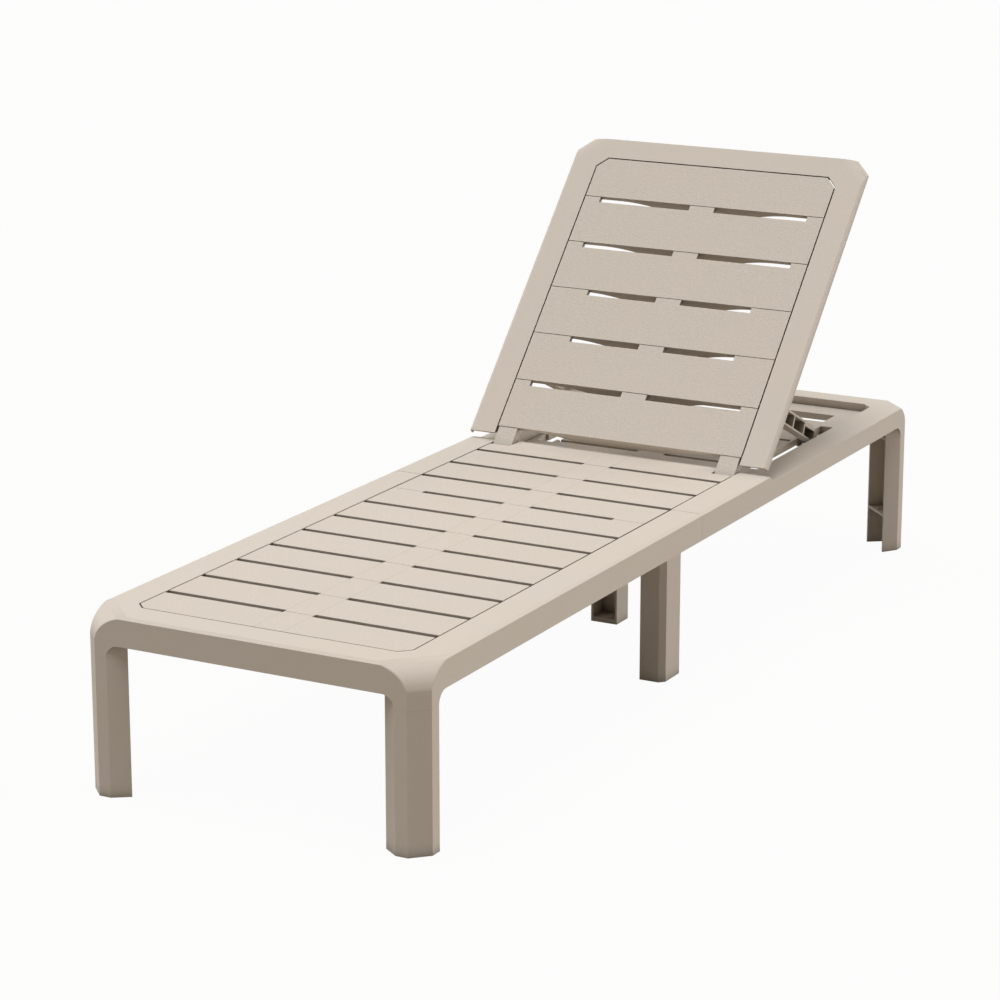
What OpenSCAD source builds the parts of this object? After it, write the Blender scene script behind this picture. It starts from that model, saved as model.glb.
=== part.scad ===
// Reclining sun lounger in moulded resin: two rail mouldings joined at mid length, drop-in
// slatted decks, seven hollow legs, a slatted backrest on two pins and a folding prop.
// Frame: origin on the floor at the middle of the length, +X to the side, +Y to the head, +Z up.

/* [Overall] */
// length from foot end to head end
overall_l = 1900; // [1500:10:2100]
// width over the side rails
overall_w = 604; // [520:2:720]
// height of the deck above the floor
deck_h = 295; // [240:5:420]

/* [Rails] */
// width of the rail's top band
rail_w = 58; // [46:1:72]
// height of the rail's outer face
rail_h = 47; // [40:1:60]
// width of the head end rail, which lies lower
head_rail_w = 48; // [40:1:60]
// thickness of the moulded rail walls
rail_wall = 3.5; // [2.5:0.5:5]
// corner chamfer seen from above
corner_cut = 27; // [18:1:36]
// radius of the top where it turns down into a corner
corner_r = 46; // [34:1:60]
// depth of the corner socket below the deck
socket_drop = 68; // [58:1:84]
// width of the small bevel on the rail's top edge
bevel_w = 8; // [4:1:10]
// height of the small bevel on the rail's top edge
bevel_h = 3; // [2:0.5:4]
// drop of the head half's rails, so the backrest lies flush
ledge_drop = 12; // [9:1:14]

/* [Deck] */
// distance from one slot to the next
slat_pitch = 100; // [90:1:110]
// width of each slot across the deck
slot_w = 12; // [8:1:16]
// half width of the bridge in the middle of each slot
bridge_hw = 26; // [16:1:40]
// shadow groove between deck panel and rail
groove_w = 2.4; // [1.5:0.1:4]
// depth of a deck panel
deck_t = 15.7; // [14:0.1:16]
// thickness of the slat skin
skin_t = 4; // [3:0.5:5]
// level of the sunk floor under the backrest, below the deck
floor_drop = 27; // [27:1:30]
// thickness of the sunk floor
floor_t = 12; // [8:1:13]

/* [Legs] */
// flat face of a corner leg beside its chamfer
leg_flat = 21; // [14:1:30]
// run of the angled face of a corner leg along the rail
leg_facet_run = 27; // [20:1:34]
// depth of that angled face
leg_facet_depth = 19; // [12:1:24]
// wall of the hollow legs
leg_wall = 4; // [3:0.5:5]
// width of a middle leg
mid_leg_w = 45; // [36:1:56]
// length of a middle leg along the rail
mid_leg_l = 63; // [50:1:76]
// width of the centre leg
centre_leg_w = 52; // [40:1:60]
// length of the centre leg
centre_leg_l = 45; // [36:1:56]

/* [Backrest] */
// angle of the backrest above the deck in its highest position
back_angle = 47; // [30:1:55]
// hinge axis, measured from the middle of the length
hinge_y = 266; // [250:1:280]
// hinge axis below the deck
hinge_drop = 15; // [14:0.5:17]
// radius of the hinge pin
hinge_pin_r = 5; // [4:0.5:6]
// width over the backrest's stiles
back_w = 596; // [514:2:712]
// width of the stiles' top band
stile_w = 50; // [42:1:60]
// width of the backrest's top band
back_top_w = 42; // [34:1:50]
// thickness of the backrest's outer lip
lip_t = 11; // [8:0.5:13]
// distance from one backrest slot to the next
back_pitch = 102; // [92:1:108]
// depth of the backrest's slats
back_t = 9; // [8.5:0.5:10]
// depth of the backrest's cross ribs at the middle
rib_depth = 25; // [16:1:26]

/* [Prop] */
// prop hinge, measured along the backrest from its own hinge
prop_pivot_w = 174; // [150:1:200]
// prop hinge below the backrest's face
prop_pivot_drop = 35; // [32:1:36]
// prop length from hinge to toe
prop_l = 303; // [280:1:320]
// radius of the prop's toe
toe_r = 7; // [6:0.5:8]
// radius of the prop's hinge pin
prop_pin_r = 4; // [3:0.5:5]
// distance of a prop arm's inner face from the centreline
arm_x = 201; // [180:1:210]
// width of a prop arm
arm_w = 22; // [16:1:26]

/* [Fasteners] */
// radius of a screw shank
screw_r = 2.4; // [2:0.1:3]
// radius of a screw head
screw_head_r = 5; // [4:0.5:6]

/* [Hidden] */
$fn = 48;
hw = overall_w / 2;
hl = overall_l / 2;
seam_gap = 0.15;
fit = 0.3;
seam_z = deck_h - socket_drop;
step_y = hinge_y + 16;
open_x = hw - rail_w;
panel_x = open_x - groove_w;
facet_a = atan(leg_facet_depth / leg_facet_run);
facet_l = norm([leg_facet_run, leg_facet_depth]);
ledge_z = deck_h - deck_t - fit;
floor_z = deck_h - floor_drop;
hinge_z = deck_h - hinge_drop;
head_y1 = hl - head_rail_w;
back_y0 = hinge_y + 26.5;
back_y1 = hl - 2;
back_hw = back_w / 2;
back_open = back_hw - stile_w - 2;
back_panel_y0 = hinge_y + 42.5;
back_panel_y1 = back_y1 - back_top_w;
back_gaps = floor((back_panel_y1 - back_panel_y0 - 40) / back_pitch);
back_ledge_z = deck_h - lip_t + 3;
back_ledge_w = 6;
pivot_y = hinge_y + prop_pivot_w;
pivot_z = deck_h - prop_pivot_drop;
tab_x1 = back_open - 4.5;
tab_x0 = tab_x1 - 37.5;
lug_w = 6;
tab_t = 20.4;
c_run = cos(back_angle);
s_run = sin(back_angle);
pivot_off = hinge_drop - prop_pivot_drop;
toe_z = deck_h - 34;
rest_py = hinge_y + prop_pivot_w * c_run - pivot_off * s_run;
rest_pz = hinge_z + prop_pivot_w * s_run + pivot_off * c_run;
prop_down = asin((rest_pz - toe_z) / prop_l);
rest_ty = rest_py + prop_l * cos(prop_down);
flat_ty = pivot_y + prop_l;
bar_z = floor_z - pivot_z + 1;
splice_x = open_x + 18;
beam_y0 = 212;
beam_y1 = 252;
beam_screw_y = (beam_y0 + beam_y1) / 2 - 6;
centre_leg_x = 12;

// corner outline in inward distances from the corner, walls inset by t
function corner_in(t) =
    let (a = leg_flat + corner_cut - t * tan(facet_a / 2), k = facet_l + 15)
    let (q0 = [a + k * cos(facet_a), t + k * sin(facet_a)],
         q1 = [a, t], q2 = [corner_cut + t * (sqrt(2) - 1), t])
    [q0, q1, q2, [q2[1], q2[0]], [q1[1], q1[0]], [q0[1], q0[0]]];
function corner_out() =
    let (p1 = [corner_cut + leg_flat, 0], p2 = [corner_cut, 0])
    let (p0 = [p1[0] + leg_facet_run, leg_facet_depth])
    [p0, p1, p2, [p2[1], p2[0]], [p1[1], p1[0]], [p0[1], p0[0]]];

// puts children drawn in inward distances at the corner on side sx, end sy
module at_corner(sx, sy) {
    translate([sx * hw, sy * hl, 0]) mirror([sx > 0 ? 1 : 0, 0, 0])
        mirror([0, sy > 0 ? 1 : 0, 0]) children();
}

// half ring of rail seen from above: sy picks the end, ew that end's rail width, t the inset
module half_ring(sy, ew, t) {
    k = t * (sqrt(2) - 1);
    c2 = 18;
    for (sx = [-1, 1]) at_corner(sx, sy) polygon([
        [t, hl - seam_gap], [t, corner_cut + k], [corner_cut + k, t], [hw + 0.01, t],
        [hw + 0.01, ew - t], [rail_w + c2 - k, ew - t], [rail_w - t, ew + c2 - k],
        [rail_w - t, hl - seam_gap]]);
}

// turns the top down into the corner chamfer, inset by t
module corner_turn(sx, sy, t) {
    s0 = -corner_cut / sqrt(2) - corner_r + 0.4;
    translate([sx * hw, sy * hl, deck_h - corner_r]) rotate([0, 0, sy * sx * 45 + (sx < 0 ? 180 : 0)])
        difference() {
            translate([s0, -110, 0]) cube([corner_r + 90, 220, corner_r + 5]);
            translate([s0, 120, 0]) rotate([90, 0, 0]) cylinder(r = corner_r - t, h = 240, $fn = 96);
        }
}

// arch that blends a rail's soffit into its corner socket
module soffit_arch(drop) {
    r = socket_drop - rail_h;
    a = corner_cut + leg_flat;
    difference() {
        translate([0, 0, deck_h - drop]) linear_extrude(drop - rail_h + 1)
            polygon([[a - 2, 0], [a + leg_facet_run, 0], [a + leg_facet_run, leg_facet_depth], [a, 2]]);
        translate([a + r, -1, deck_h - socket_drop]) rotate([-90, 0, 0])
            cylinder(r = r, h = leg_facet_depth + 2, $fn = 64);
        translate([a + r, -1, deck_h - drop - 1])
            cube([leg_facet_run, leg_facet_depth + 2, drop - rail_h + 1]);
    }
}

// rails with both corner sockets of one end; t insets every wall
module rail_mass(sy, ew, t) {
    low = t > 0 ? 1 : 0;
    difference() {
        union() {
            translate([0, 0, deck_h - rail_h - low]) linear_extrude(rail_h + low - t)
                half_ring(sy, ew, t);
            for (sx = [-1, 1]) at_corner(sx, sy)
                translate([0, 0, seam_z - low]) linear_extrude(socket_drop + low - t)
                    polygon(t > 0 ? corner_in(t) : corner_out());
        }
        for (sx = [-1, 1]) corner_turn(sx, sy, t);
    }
}

// small bevel along the outer top edges of one end
module rail_bevel(sy, y_end) {
    for (sx = [-1, 1]) translate([sx * hw, 0, deck_h]) mirror([sx > 0 ? 0 : 1, 0, 0])
        rotate([90, 0, 0]) translate([0, 0, sy > 0 ? -y_end : 0]) linear_extrude(sy > 0 ? y_end : hl)
            polygon([[1, 1], [-bevel_w - bevel_w / bevel_h, 1], [1, -bevel_h - bevel_h / bevel_w]]);
}

// closed end plate inside the rail channels at the seam, with two screw holes
module seam_plates(sy) {
    for (sx = [-1, 1]) difference() {
        translate([sx > 0 ? open_x : -hw, sy > 0 ? seam_gap : -seam_gap - rail_wall,
                   deck_h - rail_h])
            cube([rail_w, rail_wall, rail_h - bevel_h - 0.5]);
        translate([sx * (hw - rail_w / 2), 0, deck_h - rail_h + 12.5])
            cube([rail_w - 2 * rail_wall - 8, 20, 27], center = true);
    }
}

module screw_boss(r, h, hole) {
    difference() {
        cylinder(r = r, h = h);
        translate([0, 0, -1]) cylinder(r = hole, h = h - 3);
    }
}

function corner_boss() = [corner_cut + 13, corner_cut + 13];

module frame_foot() color([0.82, 0.78, 0.73]) {
    difference() {
        union() {
            difference() {
                rail_mass(-1, rail_w, 0);
                rail_mass(-1, rail_w, rail_wall);
                translate([0, -hl, deck_h]) rotate([90, 0, 90]) translate([0, 0, -hw])
                    linear_extrude(overall_w)
                        polygon([[-1, 1], [bevel_w + bevel_w / bevel_h, 1],
                                 [-1, -bevel_h - bevel_h / bevel_w]]);
                rail_bevel(-1, 0);
            }
            for (sx = [-1, 1]) at_corner(sx, -1) {
                soffit_arch(socket_drop);
                mirror([1, -1, 0]) soffit_arch(socket_drop);
                translate([corner_boss()[0], corner_boss()[1], seam_z])
                    screw_boss(7, socket_drop - rail_wall + 0.3, screw_r + 0.05);
            }
            for (sx = [-1, 1]) translate([sx > 0 ? open_x - 8 : -open_x, -hl + rail_w, ledge_z - 3])
                cube([8, hl - rail_w - seam_gap - 1, 3]);
            translate([-open_x, -hl + rail_w, ledge_z - 3]) cube([2 * open_x, 10, 3]);
            seam_plates(-1);
        }
        for (sx = [-1, 1]) for (y = [-62, -30]) splice_hole(sx, y);
    }
}

module splice_hole(sx, y) {
    translate([sx * (splice_x), y, deck_h - rail_h - 5]) cylinder(r = screw_r + 0.5, h = 10);
}

// head half: full height to the hinge, then lowered so the backrest lies on it
module head_cut(t) {
    z1 = deck_h - ledge_drop - t;
    rotate([90, 0, 90]) translate([0, 0, -hw - 1]) linear_extrude(overall_w + 2)
        polygon([[step_y - t, deck_h + 6], [step_y - t, deck_h - 0.01], [step_y + 8 - t, z1],
                 [hl + 5, z1], [hl + 5, deck_h + 6]]);
}

module frame_head() color([0.80, 0.76, 0.70]) {
    difference() {
        union() {
            difference() {
                rail_mass(1, head_rail_w, 0);
                difference() {
                    rail_mass(1, head_rail_w, rail_wall);
                    head_cut(rail_wall);
                }
                head_cut(0);
                rail_bevel(1, step_y + 8);
            }
            for (sx = [-1, 1]) at_corner(sx, 1) {
                soffit_arch(socket_drop);
                mirror([1, -1, 0]) soffit_arch(socket_drop);
                translate([corner_boss()[0], corner_boss()[1], seam_z])
                    screw_boss(7, socket_drop - ledge_drop - rail_wall + 1, screw_r + 0.05);
            }
            for (sx = [-1, 1]) {
                translate([sx > 0 ? open_x - 8 : -open_x, seam_gap + 1, ledge_z - 3])
                    cube([8, beam_y0 - 6, 3]);
                translate([sx > 0 ? open_x - 8 : -open_x, step_y + 14, floor_z - floor_t - fit - 3])
                    cube([8, head_y1 - step_y - 14, 3]);
            }
            translate([-open_x, head_y1 - 10, floor_z - floor_t - fit - 3]) cube([2 * open_x, 10, 3]);
            seam_plates(1);
        }
        for (sx = [-1, 1]) {
            for (y = [30, 62]) splice_hole(sx, y);
            translate([sx * (open_x + 2), hinge_y, hinge_z]) rotate([0, 90, 0])
                cylinder(r = hinge_pin_r + 0.05, h = 12, center = true);
            translate([sx * (open_x + 2), beam_screw_y, deck_h - rail_h + 13]) rotate([0, 90, 0])
                cylinder(r = screw_r + 0.5, h = 12, center = true);
        }
    }
}

// two half slots with a bridge between them, cut through a panel down to depth d
module slot_pair(y, x0, x1, d, w) {
    for (sx = [-1, 1]) translate([sx > 0 ? x0 : -x1, y - w / 2, deck_h - d - 1])
        cube([x1 - x0, w, d + 2]);
}

// thin shadow groove across a panel, g wide and deep
module cross_groove(y, x1, g) {
    translate([-x1, y - g / 2, deck_h - g]) cube([2 * x1, g, g + 1]);
}

// hollow under one slat, split at the bridge
module slat_hollow(y0, y1, x1, z0) {
    w = 3;
    for (sx = [-1, 1]) translate([sx > 0 ? bridge_hw + w / 2 : -x1, y0 + w, z0 - 1])
        cube([x1 - bridge_hw - w / 2, y1 - y0 - 2 * w, deck_h - skin_t - z0 + 1]);
    translate([-bridge_hw + w / 2, y0 + w, z0 - 1])
        cube([2 * bridge_hw - w, y1 - y0 - 2 * w, deck_h - skin_t - z0 + 1]);
}

module deck_foot() color([0.83, 0.79, 0.74]) {
    y0 = -hl + rail_w + groove_w;
    first = -8 * slat_pitch;
    z0 = deck_h - deck_t;
    cx = panel_x - 5;
    difference() {
        translate([0, 0, z0]) linear_extrude(deck_t)
            polygon([[-panel_x + 17, y0], [panel_x - 17, y0], [panel_x, y0 + 17],
                     [panel_x, -0.3], [-panel_x, -0.3], [-panel_x, y0 + 17]]);
        for (k = [0:7]) {
            short = k == 7 ? 56 : 0;
            slot_pair(first + k * slat_pitch, bridge_hw, panel_x - 12 - short, deck_t, slot_w);
            translate([0, 0, 9]) slot_pair(first + k * slat_pitch, bridge_hw, panel_x - short + (k == 7 ? -2 : 1),
                      deck_t, slot_w);
            cross_groove(first + k * slat_pitch, panel_x + 1, 1.4);
        }
        slot_pair(0, bridge_hw, panel_x - 12, deck_t, slot_w);
        translate([0, 0, 9]) slot_pair(0, bridge_hw, panel_x + 1, deck_t, slot_w);
        slat_hollow(y0 + 14, first - slot_w / 2, cx - 10, z0);
        for (k = [0:7])
            slat_hollow(first + k * slat_pitch + slot_w / 2, first + (k + 1) * slat_pitch - slot_w / 2,
                        cx, z0);
    }
}

module deck_seat() color([0.81, 0.77, 0.71]) {
    z0 = deck_h - deck_t;
    cx = panel_x - 5;
    y1 = hinge_y + 24;
    difference() {
        translate([-panel_x, 0.3, z0]) cube([2 * panel_x, y1 - 0.3, deck_t]);
        for (k = [0:2]) {
            slot_pair(k * slat_pitch, bridge_hw, panel_x - 12, deck_t, slot_w);
            translate([0, 0, 9]) slot_pair(k * slat_pitch, bridge_hw, panel_x + 1, deck_t, slot_w);
            cross_groove(k * slat_pitch, panel_x + 1, 1.4);
        }
        for (k = [0, 1])
            slat_hollow(k * slat_pitch + slot_w / 2, (k + 1) * slat_pitch - slot_w / 2, cx, z0);
        slat_hollow(2 * slat_pitch + slot_w / 2, y1, cx, z0);
        for (sx = [-1, 1]) {
            translate([sx > 0 ? tab_x0 - 2 : -panel_x - 1, hinge_y - 17, z0 - 1])
                cube([panel_x + 3 - tab_x0, 60, deck_t + 2]);
            translate([sx > 0 ? tab_x0 - lug_w - 6 : -panel_x - 1, hinge_y - 19, z0 - 1])
                cube([panel_x + 7 + lug_w - tab_x0, 60, deck_t + 1 - skin_t]);
        }
    }
}

// sunk floor under the backrest, with slots for the folded prop arms and toe tracks
module deck_head() color([0.78, 0.74, 0.68]) {
    y0 = step_y + 12;
    y1 = head_y1 - 2;
    z0 = floor_z - floor_t;
    ax0 = arm_x - 5;
    ax1 = arm_x + arm_w + 5;
    difference() {
        union() {
            translate([0, 0, z0]) linear_extrude(floor_t) polygon([
                [-panel_x, y0], [panel_x, y0], [panel_x, y1 - 19], [panel_x - 19, y1],
                [-panel_x + 19, y1], [-panel_x, y1 - 19]]);
            for (sx = [-1, 1]) translate([sx > 0 ? ax0 - 3 : -ax1 - 3, rest_ty - 22, z0 - 4])
                cube([ax1 - ax0 + 6, flat_ty - rest_ty + 42, 8]);
        }
        for (k = [3:7]) {
            y = (k * slat_pitch) + 22 + 2 * (k - 4);
            translate([0, 0, -floor_drop + 1]) slot_pair(y, bridge_hw, ax0 - 6, floor_t, slot_w);
        }
        translate([-ax0 + 8, flat_ty + 46, z0 - 1]) cube([2 * ax0 - 16, 56, floor_t + 2]);
        for (sx = [-1, 1]) {
            translate([sx > 0 ? ax0 : -ax1, pivot_y - 34, z0 - 1])
                cube([ax1 - ax0, rest_ty - pivot_y + 14, floor_t + 2]);
            // room for the ears and the pin of the prop's hinge
            translate([sx > 0 ? arm_x - 12 : -arm_x - arm_w - 10, pivot_y - 14, z0 - 1])
                cube([arm_w + 22, 28, floor_t + 2]);
            translate([sx > 0 ? ax0 : -ax1, rest_ty - 28, z0 + 1])
                cube([ax1 - ax0, flat_ty - rest_ty + 42, floor_t + 2]);
            translate([sx > 0 ? ax0 : -ax1, rest_ty - 22.1, toe_z - toe_r - 1])
                cube([ax1 - ax0, flat_ty - rest_ty + 36, 20]);
            for (k = [0:3]) translate([sx > 0 ? ax0 : -ax1, rest_ty + 23 * k, toe_z - toe_r - 1])
                rotate([0, 90, 0]) cylinder(r = 5, h = ax1 - ax0);
        }
        for (y = [y0 + 4, y0 + 44]) translate([-ax0 + 8, y, z0 - 1]) cube([2 * ax0 - 16, 30, floor_t - 3]);
        for (k = [4:7]) translate([-ax0 + 8, k * slat_pitch - 66, z0 - 1])
            cube([2 * ax0 - 16, 74, floor_t - 3]);
    }
}

// hollow corner leg on side sx, end sy, with a plug into the frame's socket
module corner_leg(sx, sy) {
    b = corner_boss();
    at_corner(sx, sy) difference() {
        union() {
            difference() {
                linear_extrude(seam_z - 0.2) polygon(corner_out());
                translate([0, 0, -1]) linear_extrude(seam_z + 1) polygon(corner_in(leg_wall));
            }
            for (z = [seam_z - 0.2 - 5, 70]) translate([0, 0, z]) linear_extrude(5)
                polygon(corner_out());
            translate([0, 0, seam_z - 1]) difference() {
                linear_extrude(20) intersection() {
                    polygon(corner_in(rail_wall + 0.5));
                    polygon(corner_out());
                }
                translate([0, 0, -1]) linear_extrude(30) polygon(corner_in(rail_wall + 3.5));
            }
        }
        translate([b[0], b[1], seam_z - 8]) cylinder(r = screw_r + 0.5, h = 10);
        translate([b[0], b[1], seam_z + 0.2]) cylinder(r = 8, h = 30);
        translate([b[0], b[1], 60]) cylinder(r = 6, h = 30);
    }
}

module leg_foot_right() color([0.60, 0.56, 0.50]) corner_leg(1, -1);
module leg_foot_left() color([0.60, 0.56, 0.50]) corner_leg(-1, -1);
module leg_head_right() color([0.62, 0.58, 0.52]) corner_leg(1, 1);
module leg_head_left() color([0.62, 0.58, 0.52]) corner_leg(-1, 1);

// middle leg under the seam: hollow box with a small outer chamfer and a flange under the rail
module mid_leg(sx) {
    x1 = hw - rail_w + 11;
    x0 = x1 - mid_leg_w;
    y0 = -mid_leg_l + 17;
    c = 9.5;
    top = deck_h - rail_h - 0.3;
    mirror([sx > 0 ? 0 : 1, 0, 0]) difference() {
        union() {
            difference() {
                linear_extrude(top) polygon([[x0, y0], [x1 - c, y0], [x1, y0 + c], [x1, 17], [x0, 17]]);
                translate([0, 0, -1]) linear_extrude(top - 4) polygon([
                    [x0 + leg_wall, y0 + leg_wall], [x1 - c - 1, y0 + leg_wall],
                    [x1 - leg_wall, y0 + c + 1], [x1 - leg_wall, 17 - leg_wall],
                    [x0 + leg_wall, 17 - leg_wall]]);
            }
            translate([x1 - 14, -76, top - 5]) cube([30, 152, 5]);
            translate([x0, y0, 90]) cube([mid_leg_w - c, mid_leg_l, 4]);
        }
        for (y = [-62, -30, 30, 62]) translate([splice_x, y, top - 6])
            cylinder(r = screw_r + 0.5, h = 8);
    }
}
module leg_mid_right() color([0.61, 0.57, 0.51]) mid_leg(1);
module leg_mid_left() color([0.61, 0.57, 0.51]) mid_leg(-1);

// centre leg: channel open to the foot, with a thin rim
module leg_centre() color([0.56, 0.52, 0.46]) {
    w = centre_leg_w / 2;
    top = deck_h - rail_h - 0.3;
    translate([centre_leg_x, beam_y0, 0]) difference() {
        translate([-w, 0, 0]) cube([centre_leg_w, centre_leg_l, top]);
        translate([-w + leg_wall, -1, 8]) cube([centre_leg_w - 2 * leg_wall, centre_leg_l - leg_wall + 1, top - 8 - 5]);
        for (x = [-14, 14]) translate([x, centre_leg_l / 2, top - 6]) cylinder(r = screw_r + 0.5, h = 8);
    }
}

// cross beam under the last slat: an inverted channel with the inner hinge lugs
module hinge_beam() color([0.60, 0.56, 0.50]) {
    z0 = deck_h - rail_h;
    z1 = deck_h - deck_t - 1;
    lug_x = tab_x0 - 0.5 - lug_w;
    difference() {
        union() {
            difference() {
                translate([-open_x + 0.4, beam_y0, z0]) cube([2 * open_x - 0.8, beam_y1 - beam_y0, z1 - z0]);
                for (s = [-1, 1]) translate([s > 0 ? 46 : -open_x + 8, beam_y0 + 4, z0 - 1])
                    cube([open_x - 54, beam_y1 - beam_y0 - 8, z1 - z0 - 3]);
                translate([centre_leg_x - 22, beam_y0 + 4, z0 + 8])
                    cube([44, beam_y1 - beam_y0 - 8, z1 - z0 - 12]);
            }
            for (sx = [-1, 1]) translate([sx > 0 ? lug_x : -lug_x - lug_w, 0, 0]) {
                translate([0, hinge_y, hinge_z]) rotate([0, 90, 0]) cylinder(r = 10.5, h = lug_w);
                translate([0, beam_y0 + 10, z0]) cube([lug_w, hinge_y - beam_y0 - 4, z1 - z0]);
                translate([0, hinge_y - 12, z0]) cube([lug_w, 22.5, z1 - z0 - 4]);
            }
        }
        for (sx = [-1, 1]) translate([sx * (lug_x + lug_w / 2), hinge_y, hinge_z]) rotate([0, 90, 0])
            cylinder(r = hinge_pin_r + 0.05, h = 20, center = true);
        for (x = [-14, 14]) translate([centre_leg_x + x, beam_y0 + centre_leg_l / 2, z0 - 1])
            cylinder(r = screw_r + 0.05, h = 11);
        for (sx = [-1, 1]) translate([sx * (open_x - 4), beam_screw_y, z0 + 13])
            rotate([0, 90, 0]) cylinder(r = screw_r + 0.05, h = 14, center = true);
    }
}

// joining bar inside the rail channel across the seam
module rail_splice(sx) {
    x0 = open_x + rail_wall + 4.2;
    mirror([sx > 0 ? 0 : 1, 0, 0]) difference() {
        translate([x0, -74, deck_h - rail_h + 0.2]) cube([rail_w - 2 * rail_wall - 8.6, 148, 24]);
        translate([x0 + 22, -70, deck_h - rail_h + 5]) cube([15, 140, 30]);
        for (y = [-62, -30, 30, 62]) translate([splice_x, y, deck_h - rail_h - 1])
            cylinder(r = screw_r + 0.05, h = 20);
    }
}
module rail_splice_right() color([0.58, 0.54, 0.48]) rail_splice(1);
module rail_splice_left() color([0.58, 0.54, 0.48]) rail_splice(-1);

// pan head screw pointing up, head under z = 0
module screw(l) {
    translate([0, 0, -0.1]) cylinder(r = screw_r, h = l);
    difference() {
        translate([0, 0, -3]) cylinder(r = screw_head_r, h = 2.9);
        translate([0, 0, -3.1]) cylinder(r = 2, h = 1.6, $fn = 6);
    }
}

module leg_screws() color([0.62, 0.63, 0.64]) {
    for (sx = [-1, 1]) for (sy = [-1, 1]) at_corner(sx, sy)
        translate([corner_boss()[0], corner_boss()[1], seam_z - 5.3]) screw(32);
    for (x = [-14, 14]) translate([centre_leg_x + x, beam_y0 + centre_leg_l / 2, deck_h - rail_h - 5.4])
        screw(14);
}

module splice_screws() color([0.62, 0.63, 0.64]) {
    for (sx = [-1, 1]) for (y = [-62, -30, 30, 62])
        translate([sx * (splice_x), y, deck_h - rail_h - 5.4]) screw(20);
}

module beam_screws() color([0.62, 0.63, 0.64]) {
    for (sx = [-1, 1]) translate([sx * (open_x + rail_wall + 0.1), beam_screw_y, deck_h - rail_h + 13])
        rotate([0, sx * -90, 0]) screw(11);
}

// hinge pin with a head inside the rail channel
module hinge_pin(sx) {
    x0 = tab_x0 - lug_w - 3;
    x1 = open_x + rail_wall + 0.1;
    mirror([sx > 0 ? 0 : 1, 0, 0]) translate([0, hinge_y, hinge_z]) rotate([0, 90, 0]) {
        translate([0, 0, x0]) cylinder(r = hinge_pin_r, h = x1 - x0);
        translate([0, 0, x1 + 0.0]) cylinder(r = hinge_pin_r + 2.5, h = 3);
    }
}
module hinge_pin_right() color([0.66, 0.67, 0.68]) hinge_pin(1);
module hinge_pin_left() color([0.66, 0.67, 0.68]) hinge_pin(-1);

// turns the backrest, drawn lying flat, up about its hinge
module raise() {
    translate([0, hinge_y, hinge_z]) rotate([back_angle, 0, 0])
        translate([0, -hinge_y, -hinge_z]) children();
}

// outline of the backrest from above, inset by t, its corner chamfers deeper by extra
module back_outline(t, extra = 0) {
    k = t * (sqrt(2) - 1);
    c = corner_cut + k + extra;
    polygon([[-back_hw + t, back_y0], [back_hw - t, back_y0], [back_hw - t, back_y1 - c],
             [back_hw - c, back_y1 - t], [-back_hw + c, back_y1 - t], [-back_hw + t, back_y1 - c]]);
}

// rolls the rim's top down towards a corner chamfer
module back_turn(sx) {
    r = 60;
    s0 = -corner_cut / sqrt(2) - 24;
    translate([sx * back_hw, back_y1, deck_h - r]) rotate([0, 0, sx > 0 ? 45 : 135]) difference() {
        translate([s0, -90, 0]) cube([r + 60, 180, r + 5]);
        translate([s0, 95, 0]) rotate([90, 0, 0]) cylinder(r = r, h = 190, $fn = 192);
    }
}

module backrest_frame() color([0.83, 0.80, 0.75]) raise() difference() {
    union() {
        difference() {
            translate([0, 0, deck_h - lip_t]) linear_extrude(lip_t) back_outline(0);
            translate([0, 0, deck_h - lip_t - 1]) linear_extrude(lip_t + 1 - rail_wall)
                back_outline(rail_wall, 34);
            for (sx = [-1, 1]) translate([sx * back_hw, 0, deck_h]) mirror([sx > 0 ? 0 : 1, 0, 0])
                rotate([90, 0, 0]) translate([0, 0, -back_y1]) linear_extrude(back_y1 - back_y0 + 1)
                    polygon([[1, 1], [-6, 1], [1, -3.5]]);
        }
        // inner wall around the panel, no deeper than the lip, so that it clears the rails
        difference() {
            translate([0, 0, deck_h - lip_t]) linear_extrude(lip_t - 1) polygon([
                [-back_open - 3.5, back_y0 + 6], [back_open + 3.5, back_y0 + 6],
                [back_open + 3.5, back_panel_y1 - 18], [back_open - 18, back_panel_y1 + 3.5],
                [-back_open + 18, back_panel_y1 + 3.5], [-back_open - 3.5, back_panel_y1 - 18]]);
            translate([0, 0, deck_h - 30]) linear_extrude(40) polygon([
                [-back_open, back_y0 - 6], [back_open, back_y0 - 6], [back_open, back_panel_y1 - 20],
                [back_open - 20, back_panel_y1], [-back_open + 20, back_panel_y1],
                [-back_open, back_panel_y1 - 20]]);
        }
        // ledge that the panel lies on
        for (sx = [-1, 1])
            translate([sx > 0 ? back_open - back_ledge_w : -back_open, back_panel_y0 + 12, back_ledge_z - 3])
                cube([back_ledge_w, back_panel_y1 - back_panel_y0 - 42, 3]);
        translate([-back_open + 30, back_panel_y1 - back_ledge_w, back_ledge_z - 3])
            cube([2 * back_open - 60, back_ledge_w, 3]);
    }
    translate([0, 0, deck_h - 31]) linear_extrude(60) polygon([
        [-back_open, back_y0 - 6], [back_open, back_y0 - 6], [back_open, back_y0 + 12],
        [-back_open, back_y0 + 12]]);
    translate([0, 0, back_ledge_z]) linear_extrude(60) polygon([
        [-back_open, back_y0 - 6], [back_open, back_y0 - 6], [back_open, back_panel_y1 - 20],
        [back_open - 20, back_panel_y1], [-back_open + 20, back_panel_y1],
        [-back_open, back_panel_y1 - 20]]);
    for (sx = [-1, 1]) back_turn(sx);
}

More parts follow.
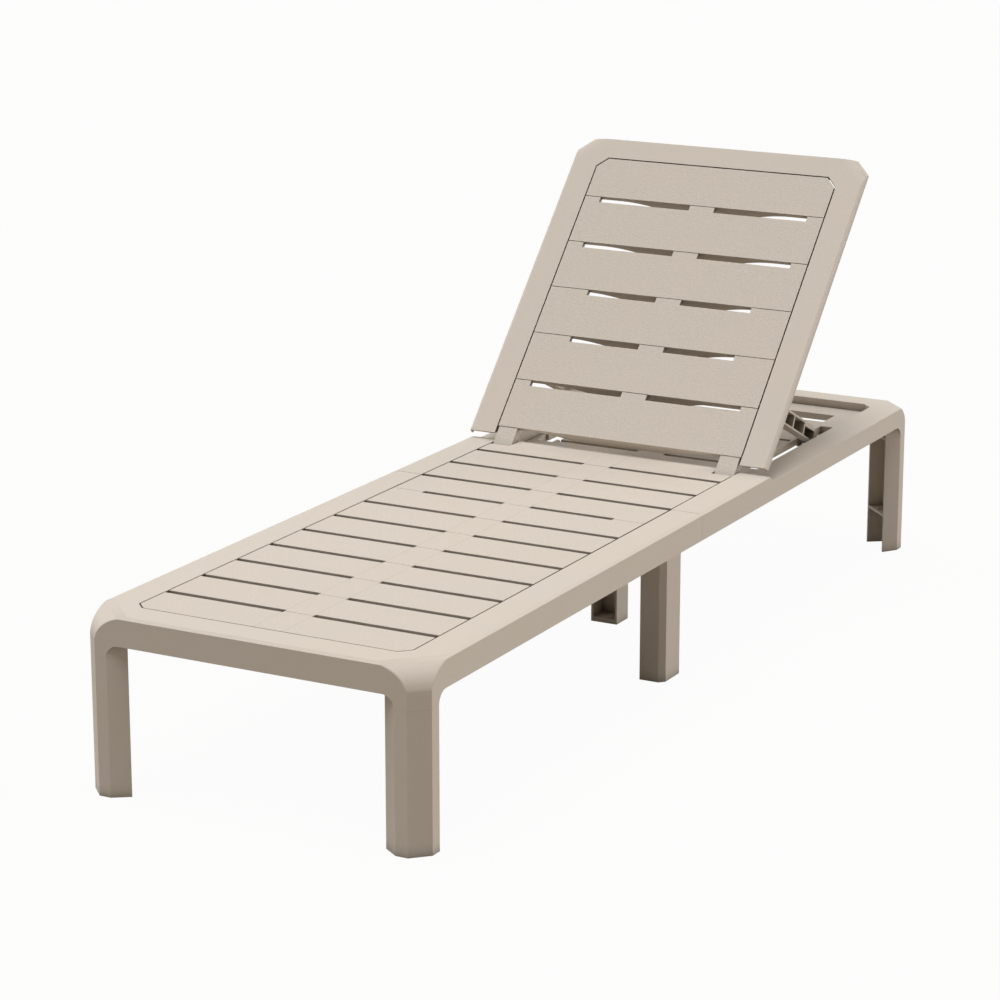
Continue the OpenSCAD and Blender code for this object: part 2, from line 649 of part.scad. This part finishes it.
// arched cross rib: deep at the middle, no deeper than the slats at the ends
module arched_rib(y, x1) {
    run = 77;
    rise = rib_depth - back_t;
    r = (run * run + rise * rise) / (2 * rise);
    arch_x = back_open - 71;
    translate([0, y, 0]) rotate([90, 0, 0]) translate([0, 0, -1.5]) linear_extrude(3) difference() {
        translate([-x1, deck_h - rib_depth]) square([2 * x1, rib_depth - 2]);
        for (s = [-1, 1]) {
            translate([s * arch_x, deck_h - back_t - r]) circle(r = r, $fn = 192);
            translate([s > 0 ? arch_x : -x1 - 1, deck_h - rib_depth - 1])
                square([x1 + 1 - arch_x, rise + 1]);
        }
    }
}

// outline of the backrest panel from above, its sides and top inset by t
module panel_outline(t) {
    px = back_open - groove_w - t;
    y1 = back_panel_y1 - groove_w - t;
    c = 19 - t * (2 - sqrt(2));
    polygon([[-px, back_panel_y0], [px, back_panel_y0], [px, y1 - c], [px - c, y1], [-px + c, y1],
             [-px, y1 - c]]);
}

module backrest_panel() color([0.80, 0.76, 0.71]) raise() {
    px = back_open - groove_w;
    y0 = back_panel_y0;
    y1 = back_panel_y1 - groove_w;
    z0 = deck_h - back_t;
    flange_z = back_ledge_z + fit;
    rim = 3;
    difference() {
        union() {
            difference() {
                union() {
                    translate([0, 0, flange_z]) linear_extrude(deck_h - flange_z) panel_outline(0);
                    translate([0, 0, z0]) linear_extrude(flange_z - z0 + 1)
                        panel_outline(back_ledge_w - groove_w + fit);
                }
                // hollows behind the slats
                for (k = [0:back_gaps]) {
                    ya = y0 + k * back_pitch + (k > 0 ? 1 : 0);
                    yb = k < back_gaps ? y0 + (k + 1) * back_pitch - 13 : y1 - 4;
                    for (s = [-1, 1]) translate([s > 0 ? 29 : -px + 16 , ya + rim, z0 - 1])
                        cube([px - 45, yb - ya - 2 * rim, back_t - skin_t + 1]);
                    translate([-24, ya + rim, z0 - 1]) cube([48, yb - ya - 2 * rim, back_t - skin_t + 1]);
                    if (k < back_gaps) for (s = [-1, 1])
                        translate([s > 0 ? px - 13 : -px + 7, ya + rim, z0 - 1])
                            cube([6, yb - ya - 2 * rim, back_t - skin_t + 1]);
                }
            }
            for (k = [0:back_gaps]) arched_rib(y0 + k * back_pitch + (k > 0 ? 0.5 : 1.5), px - 12);
            // tabs that reach down to the hinge
            for (sx = [-1, 1]) translate([sx > 0 ? tab_x0 : -tab_x1, 0, 0]) {
                translate([0, hinge_y, hinge_z]) rotate([0, 90, 0])
                    cylinder(r = 12.5, h = tab_x1 - tab_x0);
                translate([0, hinge_y, deck_h - tab_t]) cube([tab_x1 - tab_x0, y0 - hinge_y + 8, tab_t - 1.4]);
            }
            // ears that carry the prop's hinge
            for (sx = [-1, 1]) for (x = [arm_x - 6.5, arm_x + arm_w + 0.5])
                translate([sx > 0 ? x : -x - 6, 0, 0]) {
                    translate([0, pivot_y, pivot_z]) rotate([0, 90, 0]) cylinder(r = 9.5, h = 6);
                    translate([0, pivot_y - 9.5, pivot_z]) cube([6, 19, prop_pivot_drop - 2]);
                }
        }
        for (k = [1:back_gaps]) {
            x1 = back_open - (k == 1 || k > back_gaps - 2 ? 34 : 80);
            y = y0 + k * back_pitch - 7;
            for (s = [-1, 1]) translate([s > 0 ? 25 : -x1, y - 6, z0 - 8])
                cube([x1 - 25, 12, 40]);
            translate([-px - 1, y + 5.2, deck_h - 1.5]) cube([2 * px + 2, 1.3, 3]);
        }
        for (sx = [-1, 1]) {
            translate([sx * (tab_x0 + tab_x1) / 2, hinge_y, hinge_z]) rotate([0, 90, 0])
                cylinder(r = hinge_pin_r + 0.05, h = 60, center = true);
            translate([sx * (arm_x + arm_w / 2), pivot_y, pivot_z]) rotate([0, 90, 0])
                cylinder(r = prop_pin_r + 0.05, h = 60, center = true);
        }
    }
}

// places the prop, drawn lying along +Y from its hinge, in its rest position
module place_prop() {
    translate([0, rest_py, rest_pz]) rotate([-prop_down, 0, 0]) children();
}

// side view of a prop arm: straight below, where it lies on the toe track when folded
module prop_arm() {
    low = -toe_r + 0.8;
    rotate([90, 0, 90]) linear_extrude(arm_w) polygon([
        [0, -9], [140, low], [prop_l, low], [prop_l + 5, 1], [prop_l + 2, 8], [prop_l - 30, 23],
        [18, 23], [0, 9]]);
}

module prop() color([0.70, 0.66, 0.60]) place_prop() difference() {
    union() {
        for (sx = [-1, 1]) translate([sx > 0 ? arm_x : -arm_x - arm_w, 0, 0]) {
            prop_arm();
            rotate([0, 90, 0]) cylinder(r = 9, h = arm_w);
            translate([0, prop_l, 0]) rotate([0, 90, 0]) cylinder(r = toe_r, h = arm_w);
        }
        // flat cross bar, which lies between floor and backrest when folded
        translate([-arm_x - 1, 92, bar_z]) cube([2 * arm_x + 2, 18, 5]);
    }
    // hollow of each arm, open to the side, with ribs left standing
    for (sx = [-1, 1]) translate([sx > 0 ? arm_x + 4 : -arm_x - arm_w - 1, 0, 0]) {
        for (k = [0:4]) translate([0, 22 + k * 54, -3]) cube([arm_w - 3, 49, k == 4 ? 17 : 22]);
    }
    for (sx = [-1, 1]) translate([sx * (arm_x + arm_w / 2), 0, 0]) rotate([0, 90, 0])
        cylinder(r = prop_pin_r + 0.05, h = 60, center = true);
}

module prop_pin(sx) place_prop() mirror([sx > 0 ? 0 : 1, 0, 0]) rotate([0, 90, 0]) {
    translate([0, 0, arm_x - 8]) cylinder(r = prop_pin_r, h = arm_w + 16);
    translate([0, 0, arm_x - 10]) cylinder(r = prop_pin_r + 2, h = 2.6);
}
module prop_pin_right() color([0.66, 0.67, 0.68]) prop_pin(1);
module prop_pin_left() color([0.66, 0.67, 0.68]) prop_pin(-1);

frame_foot();
frame_head();
deck_foot();
deck_seat();
deck_head();
leg_foot_right();
leg_foot_left();
leg_head_right();
leg_head_left();
leg_mid_right();
leg_mid_left();
leg_centre();
hinge_beam();
rail_splice_right();
rail_splice_left();
leg_screws();
splice_screws();
beam_screws();
hinge_pin_right();
hinge_pin_left();
backrest_frame();
backrest_panel();
prop();
prop_pin_right();
prop_pin_left();
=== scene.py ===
import math

import bmesh
import bpy
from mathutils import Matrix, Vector


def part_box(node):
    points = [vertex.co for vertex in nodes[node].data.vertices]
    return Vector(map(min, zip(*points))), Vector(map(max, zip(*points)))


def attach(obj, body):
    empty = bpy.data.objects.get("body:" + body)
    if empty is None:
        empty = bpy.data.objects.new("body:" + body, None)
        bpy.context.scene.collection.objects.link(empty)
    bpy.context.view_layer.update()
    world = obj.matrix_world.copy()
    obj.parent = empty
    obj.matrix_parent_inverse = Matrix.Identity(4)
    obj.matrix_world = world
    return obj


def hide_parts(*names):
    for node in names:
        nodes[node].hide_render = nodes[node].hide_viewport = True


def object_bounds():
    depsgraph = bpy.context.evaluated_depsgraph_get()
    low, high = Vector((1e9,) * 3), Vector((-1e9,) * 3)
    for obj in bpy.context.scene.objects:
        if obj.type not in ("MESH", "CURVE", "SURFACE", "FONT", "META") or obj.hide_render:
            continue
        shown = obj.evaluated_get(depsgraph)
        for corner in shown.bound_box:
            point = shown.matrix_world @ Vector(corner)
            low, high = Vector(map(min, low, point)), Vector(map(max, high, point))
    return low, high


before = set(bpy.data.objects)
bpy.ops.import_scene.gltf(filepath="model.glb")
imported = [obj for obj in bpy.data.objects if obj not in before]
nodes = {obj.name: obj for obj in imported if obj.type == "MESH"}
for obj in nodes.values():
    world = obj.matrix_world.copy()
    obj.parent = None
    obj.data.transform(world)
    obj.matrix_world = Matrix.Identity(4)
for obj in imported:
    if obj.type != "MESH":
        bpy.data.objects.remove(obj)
cad_low, cad_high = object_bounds()

# ---------------------------------------------------------------- camera
# A long lens a few metres off the right foot corner, looking slightly down along the lounger.
camera_data = bpy.data.cameras.new("camera")
camera_data.sensor_width = 36.0
camera_data.lens = 117.69
camera_data.clip_end = 100.0
camera = bpy.data.objects.new("camera", camera_data)
camera.location = (2.5338, -4.8298, 1.7840)
camera.rotation_euler = (math.radians(90.0 - 15.42), 0.0, math.radians(28.48))
bpy.context.collection.objects.link(camera)
bpy.context.scene.camera = camera
bpy.context.scene.view_settings.view_transform = "Standard"

# ---------------------------------------------------------------- studio
# A seamless pale floor that shows white to the camera and keeps a faint shadow, one broad soft
# lamp overhead and a weaker one on each side, and a dim even room around them.


def shows_backdrop(tree):
    """One for the rays that see the backdrop itself: from the camera, off gloss or through glass."""
    rays = tree.nodes.new("ShaderNodeLightPath")
    gloss_or_glass = tree.nodes.new("ShaderNodeMath")
    gloss_or_glass.operation = "MAXIMUM"
    any_of_three = tree.nodes.new("ShaderNodeMath")
    any_of_three.operation = "MAXIMUM"
    tree.links.new(rays.outputs["Is Glossy Ray"], gloss_or_glass.inputs[0])
    tree.links.new(rays.outputs["Is Transmission Ray"], gloss_or_glass.inputs[1])
    tree.links.new(rays.outputs["Is Camera Ray"], any_of_three.inputs[0])
    tree.links.new(gloss_or_glass.outputs[0], any_of_three.inputs[1])
    return any_of_three.outputs[0]


FLOOR_SIZE = 60.0
floor_mesh = bpy.data.meshes.new("floor")
half = FLOOR_SIZE / 2
floor_mesh.from_pydata([(-half, -half, 0), (half, -half, 0), (half, half, 0), (-half, half, 0)], [],
                       [(0, 1, 2, 3)])
floor = bpy.data.objects.new("floor", floor_mesh)
floor.location.z = cad_low.z - 0.0005
bpy.context.collection.objects.link(floor)
floor_paper = bpy.data.materials.new("floor_paper")
floor_paper.use_nodes = True
paper = floor_paper.node_tree
paper.nodes.clear()
paper_out = paper.nodes.new("ShaderNodeOutputMaterial")
paper_matte = paper.nodes.new("ShaderNodeBsdfDiffuse")
paper_matte.inputs["Color"].default_value = (0.42, 0.375, 0.315, 1)
paper_white = paper.nodes.new("ShaderNodeEmission")
paper_white.inputs["Color"].default_value = (1, 1, 1, 1)
share = paper.nodes.new("ShaderNodeMath")
share.operation = "MULTIPLY"
share.inputs[1].default_value = 0.96
paper.links.new(shows_backdrop(paper), share.inputs[0])
paper_mix = paper.nodes.new("ShaderNodeMixShader")
paper.links.new(share.outputs[0], paper_mix.inputs[0])
paper.links.new(paper_matte.outputs[0], paper_mix.inputs[1])
paper.links.new(paper_white.outputs[0], paper_mix.inputs[2])
paper.links.new(paper_mix.outputs[0], paper_out.inputs["Surface"])
floor_mesh.materials.append(floor_paper)

room = bpy.data.worlds.new("room")
bpy.context.scene.world = room
room.use_nodes = True
room_tree = room.node_tree
room_tree.nodes.clear()
room_out = room_tree.nodes.new("ShaderNodeOutputWorld")
room_dim = room_tree.nodes.new("ShaderNodeBackground")
room_dim.inputs["Color"].default_value = (1.0, 0.94, 0.86, 1)
room_dim.inputs["Strength"].default_value = 0.14
room_white = room_tree.nodes.new("ShaderNodeBackground")
room_white.inputs["Color"].default_value = (1, 1, 1, 1)
room_white.inputs["Strength"].default_value = 1.0
room_mix = room_tree.nodes.new("ShaderNodeMixShader")
room_tree.links.new(shows_backdrop(room_tree), room_mix.inputs[0])
room_tree.links.new(room_dim.outputs[0], room_mix.inputs[1])
room_tree.links.new(room_white.outputs[0], room_mix.inputs[2])
room_tree.links.new(room_mix.outputs[0], room_out.inputs["Surface"])


def soft_sun(name, strength, spread, towards, tint):
    """A distant lamp with a broad disc: towards points from the lounger to the lamp."""
    lamp_data = bpy.data.lights.new(name, "SUN")
    lamp_data.energy = strength
    lamp_data.angle = math.radians(spread)
    lamp_data.color = tint
    lamp = bpy.data.objects.new(name, lamp_data)
    lamp.rotation_mode = "QUATERNION"
    lamp.rotation_quaternion = Vector(towards).to_track_quat("Z", "Y")
    bpy.context.collection.objects.link(lamp)


soft_sun("overhead_lamp", 2.48, 45, (-0.05, -0.20, 1.0), (1.0, 1.0, 1.0))
soft_sun("right_lamp", 1.40, 30, (1.0, 1.00, 0.35), (1.0, 0.98, 0.95))
soft_sun("left_lamp", 0.75, 35, (-1.0, 0.20, 0.35), (1.0, 0.98, 0.95))

# ---------------------------------------------------------------- foot half of the rail frame
# One U-shaped resin moulding: an upturned channel that turns down into a socket at each corner.
# The mould is spark-eroded, so the skin is matt with a very fine grain, and every edge is eased.


def moulded_grain():
    """Fine spark-eroded skin: a fleck mask, a broad tone mask and a height."""
    group = bpy.data.node_groups.new("moulded_grain", "ShaderNodeTree")
    face = group.interface
    face.new_socket("Fleck Scale", in_out="INPUT", socket_type="NodeSocketFloat").default_value = 900
    face.new_socket("Cloud Scale", in_out="INPUT", socket_type="NodeSocketFloat").default_value = 6
    face.new_socket("Fleck", in_out="OUTPUT", socket_type="NodeSocketFloat")
    face.new_socket("Cloud", in_out="OUTPUT", socket_type="NodeSocketFloat")
    face.new_socket("Height", in_out="OUTPUT", socket_type="NodeSocketFloat")
    start = group.nodes.new("NodeGroupInput")
    end = group.nodes.new("NodeGroupOutput")
    place = group.nodes.new("ShaderNodeTexCoord")
    fleck = group.nodes.new("ShaderNodeTexNoise")
    fleck.inputs["Detail"].default_value = 2.0
    cloud = group.nodes.new("ShaderNodeTexNoise")
    cloud.inputs["Detail"].default_value = 4.0
    pits = group.nodes.new("ShaderNodeTexVoronoi")
    pits.feature = "F1"
    half_scale = group.nodes.new("ShaderNodeMath")
    half_scale.operation = "MULTIPLY"
    half_scale.inputs[1].default_value = 0.7
    blend = group.nodes.new("ShaderNodeMath")
    blend.operation = "ADD"
    link = group.links.new
    for texture in (fleck, cloud, pits):
        link(place.outputs["Object"], texture.inputs["Vector"])
    link(start.outputs["Fleck Scale"], fleck.inputs["Scale"])
    link(start.outputs["Cloud Scale"], cloud.inputs["Scale"])
    link(start.outputs["Fleck Scale"], half_scale.inputs[0])
    link(half_scale.outputs[0], pits.inputs["Scale"])
    link(fleck.outputs["Fac"], blend.inputs[0])
    link(pits.outputs["Distance"], blend.inputs[1])
    link(fleck.outputs["Fac"], end.inputs["Fleck"])
    link(cloud.outputs["Fac"], end.inputs["Cloud"])
    link(blend.outputs[0], end.inputs["Height"])
    return group


def edge_mask():
    """Masks of convex edges, for a painted highlight along them, and of sheltered corners, for painted shade
    in them.
    """
    group = bpy.data.node_groups.new("edge_mask", "ShaderNodeTree")
    face = group.interface
    face.new_socket("Width", in_out="INPUT", socket_type="NodeSocketFloat").default_value = 0.002
    face.new_socket("Edge", in_out="OUTPUT", socket_type="NodeSocketFloat")
    face.new_socket("Shelter", in_out="OUTPUT", socket_type="NodeSocketFloat")
    start = group.nodes.new("NodeGroupInput")
    end = group.nodes.new("NodeGroupOutput")
    rounded = group.nodes.new("ShaderNodeBevel")
    rounded.samples = 4
    true_normal = group.nodes.new("ShaderNodeNewGeometry")
    facing = group.nodes.new("ShaderNodeVectorMath")
    facing.operation = "DOT_PRODUCT"
    ramp = group.nodes.new("ShaderNodeMapRange")
    ramp.inputs["From Min"].default_value = 0.995
    ramp.inputs["From Max"].default_value = 0.86
    shelter = group.nodes.new("ShaderNodeAmbientOcclusion")
    shelter.samples = 4
    shelter.inputs["Distance"].default_value = 0.022
    shade = group.nodes.new("ShaderNodeMapRange")
    shade.inputs["From Min"].default_value = 0.86
    shade.inputs["From Max"].default_value = 0.30
    link = group.links.new
    link(start.outputs["Width"], rounded.inputs["Radius"])
    link(rounded.outputs["Normal"], facing.inputs[0])
    link(true_normal.outputs["Normal"], facing.inputs[1])
    link(facing.outputs["Value"], ramp.inputs["Value"])
    link(shelter.outputs["AO"], shade.inputs["Value"])
    link(ramp.outputs["Result"], end.inputs["Edge"])
    link(shade.outputs["Result"], end.inputs["Shelter"])
    return group


def mould_line():
    """Mask of the two fine lines beside the centre, where inserts of the mould meet."""
    group = bpy.data.node_groups.new("mould_line", "ShaderNodeTree")
    face = group.interface
    face.new_socket("Offset", in_out="INPUT", socket_type="NodeSocketFloat").default_value = 0.026
    face.new_socket("Line", in_out="OUTPUT", socket_type="NodeSocketFloat")
    start = group.nodes.new("NodeGroupInput")
    end = group.nodes.new("NodeGroupOutput")
    place = group.nodes.new("ShaderNodeTexCoord")
    split = group.nodes.new("ShaderNodeSeparateXYZ")
    aside = group.nodes.new("ShaderNodeMath")
    aside.operation = "ABSOLUTE"
    near = group.nodes.new("ShaderNodeMath")
    near.operation = "COMPARE"
    near.inputs[2].default_value = 0.00055
    link = group.links.new
    link(place.outputs["Object"], split.inputs[0])
    link(split.outputs["X"], aside.inputs[0])
    link(aside.outputs[0], near.inputs[0])
    link(start.outputs["Offset"], near.inputs[1])
    link(near.outputs[0], end.inputs["Line"])
    return group


GRAIN = moulded_grain()
EDGES = edge_mask()


def mixed(tree, fac, low, high, blend_type="MIX"):
    """Colour mix node: returns the node; low and high are colours or sockets."""
    mix = tree.nodes.new("ShaderNodeMix")
    mix.data_type = "RGBA"
    mix.blend_type = blend_type
    for socket, value in ((mix.inputs[0], fac), (mix.inputs[6], low), (mix.inputs[7], high)):
        if isinstance(value, bpy.types.NodeSocket):
            tree.links.new(value, socket)
        else:
            socket.default_value = value
    return mix.outputs[2]


def resin(name, tone, fleck_scale, fleck_depth, relief, rough, lines=False):
    """Through-coloured matt resin: tone is its linear colour, relief the height of its grain in metres."""
    material = bpy.data.materials.new(name)
    material.use_nodes = True
    tree = material.node_tree
    skin = tree.nodes["Principled BSDF"]
    grain = tree.nodes.new("ShaderNodeGroup")
    grain.node_tree = GRAIN
    grain.inputs["Fleck Scale"].default_value = fleck_scale
    edges = tree.nodes.new("ShaderNodeGroup")
    edges.node_tree = EDGES
    edges.inputs["Width"].default_value = 0.0022
    dark = [c * (1 - fleck_depth) for c in tone] + [1]
    light = [min(1, c * (1 + fleck_depth)) for c in tone] + [1]
    colour = mixed(tree, grain.outputs["Fleck"], dark, light)
    warm = [tone[0] * 1.02, tone[1] * 0.985, tone[2] * 0.95, 1]
    patch = tree.nodes.new("ShaderNodeMapRange")
    patch.inputs["From Min"].default_value = 0.42
    patch.inputs["From Max"].default_value = 0.75
    patch.inputs["To Max"].default_value = 0.45
    tree.links.new(grain.outputs["Cloud"], patch.inputs["Value"])
    colour = mixed(tree, patch.outputs["Result"], colour, warm)
    # Painted highlight: the colour is lightened by 16% along the eased edges, standing in for light catching
    # them.
    painted_edge_highlight = tree.nodes.new("ShaderNodeMath")
    painted_edge_highlight.operation = "MULTIPLY"
    painted_edge_highlight.inputs[1].default_value = 0.35
    tree.links.new(edges.outputs["Edge"], painted_edge_highlight.inputs[0])
    colour = mixed(tree, painted_edge_highlight.outputs[0], colour, [min(1, c * 1.16) for c in tone] + [1])
    if lines:
        seam = tree.nodes.new("ShaderNodeGroup")
        seam.node_tree = mould_line()
        colour = mixed(tree, seam.outputs["Line"], colour, [c * 0.80 for c in tone] + [1])
    # Painted shade: slots, grooves and corners that the occlusion mask finds sheltered turn dark brown.
    painted_recess_shade = tree.nodes.new("ShaderNodeMath")
    painted_recess_shade.operation = "MULTIPLY"
    painted_recess_shade.inputs[1].default_value = 0.85
    tree.links.new(edges.outputs["Shelter"], painted_recess_shade.inputs[0])
    colour = mixed(tree, painted_recess_shade.outputs[0], colour, [tone[0] * 0.16, tone[1] * 0.13, tone[2] * 0.10, 1])
    tree.links.new(colour, skin.inputs["Base Color"])
    roughness = tree.nodes.new("ShaderNodeMapRange")
    roughness.inputs["To Min"].default_value = rough - 0.06
    roughness.inputs["To Max"].default_value = rough + 0.08
    tree.links.new(grain.outputs["Fleck"], roughness.inputs["Value"])
    tree.links.new(roughness.outputs["Result"], skin.inputs["Roughness"])
    bump = tree.nodes.new("ShaderNodeBump")
    bump.inputs["Strength"].default_value = 0.55
    bump.inputs["Distance"].default_value = relief
    tree.links.new(grain.outputs["Height"], bump.inputs["Height"])
    tree.links.new(bump.outputs["Normal"], skin.inputs["Normal"])
    skin.inputs["Specular IOR Level"].default_value = 0.35
    return material


RAIL_TONE = (0.620, 0.558, 0.486)
rail_resin = resin("rail_resin", RAIL_TONE, 600, 0.10, 0.00022, 0.56)


def corner_ridges(shell):
    """Curved ridges where a rail's outer face meets the turned-down corner."""
    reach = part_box("frame_foot")[1].x - 0.075
    ridges = []
    for e in shell.edges:
        if len(e.link_faces) != 2:
            continue
        middle = (e.verts[0].co + e.verts[1].co) / 2
        normals = [f.normal for f in e.link_faces]
        straight = [n for n in normals if abs(n.z) < 0.01 and max(abs(n.x), abs(n.y)) > 0.999]
        turned = [n for n in normals if abs(abs(n.x) - abs(n.y)) < 0.05 and n.z > 0.02]
        if straight and turned and abs(middle.x) > reach and middle.z > 0.2:
            ridges.append(e)
    return ridges


def eased_copy(node, name, ease, min_angle=24, segments=2, band=0.0):
    """A welded copy of a CAD node's mesh with every true edge eased; band widens the corner ridges."""
    mesh = nodes[node].data.copy()
    mesh.name = name
    mesh.materials.clear()
    shell = bmesh.new()
    shell.from_mesh(mesh)
    bmesh.ops.remove_doubles(shell, verts=shell.verts, dist=0.00002)
    bmesh.ops.dissolve_limit(shell, angle_limit=math.radians(0.4), verts=shell.verts, edges=shell.edges)
    if band:
        shell.normal_update()
        bmesh.ops.bevel(shell, geom=corner_ridges(shell), offset=band, segments=1, profile=0.5,
                        affect="EDGES", clamp_overlap=True)
        shell.normal_update()
    sharp = [e for e in shell.edges
             if len(e.link_faces) == 2 and e.calc_face_angle(0) > math.radians(min_angle)]
    if ease:
        bmesh.ops.bevel(shell, geom=sharp, offset=ease, segments=segments, profile=0.5,
                        affect="EDGES", clamp_overlap=True)
    for f in shell.faces:
        f.smooth = True
    shell.to_mesh(mesh)
    shell.free()
    mesh.set_sharp_from_angle(angle=math.radians(28))
    piece = bpy.data.objects.new(name, mesh)
    bpy.context.collection.objects.link(piece)
    even = piece.modifiers.new("even_normals", "WEIGHTED_NORMAL")
    even.keep_sharp = True
    return piece


def fit_piece(piece, material, body, slot, *replaced):
    """Gives a piece its material and its place in the frame."""
    piece.data.materials.clear()
    piece.data.materials.append(material)
    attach(piece, body)
    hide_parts(*replaced)


foot_rails = eased_copy("frame_foot", "foot_rails", 0.0012, band=0.004)
fit_piece(foot_rails, rail_resin, "base", "resin_frame", "frame_foot")

# ---------------------------------------------------------------- head half of the rail frame
# The matching moulding of the head end. Behind the hinge its rails step down, so that the
# backrest's rim lies on them flush with the deck.
head_rails = eased_copy("frame_head", "head_rails", 0.0012, band=0.004)
fit_piece(head_rails, rail_resin, "base", "resin_frame", "frame_head")

# ---------------------------------------------------------------- deck panels
# Drop-in slatted panels, each one moulding with its slats joined by bridges. The skin of the
# slats carries a fine woven grain that gives grip and hides scratches.
SLAT_TONE = (0.612, 0.550, 0.480)
slat_resin = resin("slat_resin", SLAT_TONE, 420, 0.22, 0.0006, 0.62)
deck_resin = resin("deck_resin", SLAT_TONE, 420, 0.22, 0.0006, 0.62, lines=True)
for node, name in (("deck_foot", "foot_deck_slats"), ("deck_seat", "seat_deck_slats"),
                   ("deck_head", "sunk_floor")):
    panel = eased_copy(node, name, 0.0010)
    fit_piece(panel, slat_resin if node == "deck_head" else deck_resin, "base", "resin_slat", node)

# ---------------------------------------------------------------- legs
# Hollow resin legs: four corner legs open to the inside, two middle legs under the seam and
# one centre leg under the hinge beam. Each plugs or bolts on from below.
for node in ("leg_foot_right", "leg_foot_left", "leg_head_right", "leg_head_left", "leg_mid_right",
             "leg_mid_left", "leg_centre"):
    leg = eased_copy(node, node.replace("leg_", "") + "_leg", 0.0011)
    fit_piece(leg, rail_resin, "base", "resin_frame", node)

# ---------------------------------------------------------------- hinge beam and joining bars
# Ribbed resin parts under the deck: the beam carries the inner hinge lugs, and a bar in each
# rail channel ties the two frame halves together.
for node, name in (("hinge_beam", "cross_beam"), ("rail_splice_right", "right_joining_bar"),
                   ("rail_splice_left", "left_joining_bar")):
    bar = eased_copy(node, name, 0.0007)
    fit_piece(bar, rail_resin, "base", "resin_frame", node)

# ---------------------------------------------------------------- backrest
# A rim moulding with a thin outer lip, and a slatted panel that drops into it and carries the
# hinge tabs and the arched cross ribs.
back_rim = eased_copy("backrest_frame", "backrest_rim", 0.0012)
fit_piece(back_rim, rail_resin, "backrest", "resin_frame", "backrest_frame")
back_slats = eased_copy("backrest_panel", "backrest_slats", 0.0009)
fit_piece(back_slats, slat_resin, "backrest", "resin_slat", "backrest_panel")

# ---------------------------------------------------------------- prop
# A U-shaped moulded bail on the back of the backrest. Its hollow arms are stiffened with ribs
# and their toes drop into the toe tracks of the sunk floor.
prop = eased_copy("prop", "prop_bail", 0.0011)
fit_piece(prop, rail_resin, "prop", "resin_frame", "prop")

# ---------------------------------------------------------------- screws and pins
# Zinc-plated steel: pan-head screws from below, plain pins with a flat head in the hinges.


def zinc_steel():
    material = bpy.data.materials.new("zinc_steel")
    material.use_nodes = True
    tree = material.node_tree
    skin = tree.nodes["Principled BSDF"]
    grain = tree.nodes.new("ShaderNodeGroup")
    grain.node_tree = GRAIN
    grain.inputs["Fleck Scale"].default_value = 1500
    grain.inputs["Cloud Scale"].default_value = 120
    colour = mixed(tree, grain.outputs["Cloud"], (0.50, 0.51, 0.53, 1), (0.68, 0.68, 0.67, 1))
    tree.links.new(colour, skin.inputs["Base Color"])
    roughness = tree.nodes.new("ShaderNodeMapRange")
    roughness.inputs["To Min"].default_value = 0.28
    roughness.inputs["To Max"].default_value = 0.46
    tree.links.new(grain.outputs["Fleck"], roughness.inputs["Value"])
    tree.links.new(roughness.outputs["Result"], skin.inputs["Roughness"])
    skin.inputs["Metallic"].default_value = 1.0
    return material


zinc = zinc_steel()
for node, body in (("leg_screws", "base"), ("splice_screws", "base"), ("beam_screws", "base"),
                   ("hinge_pin_right", "base"), ("hinge_pin_left", "base"),
                   ("prop_pin_right", "backrest"), ("prop_pin_left", "backrest")):
    steel = eased_copy(node, "steel_" + node, 0.0003, segments=1)
    fit_piece(steel, zinc, body, "steel", node)
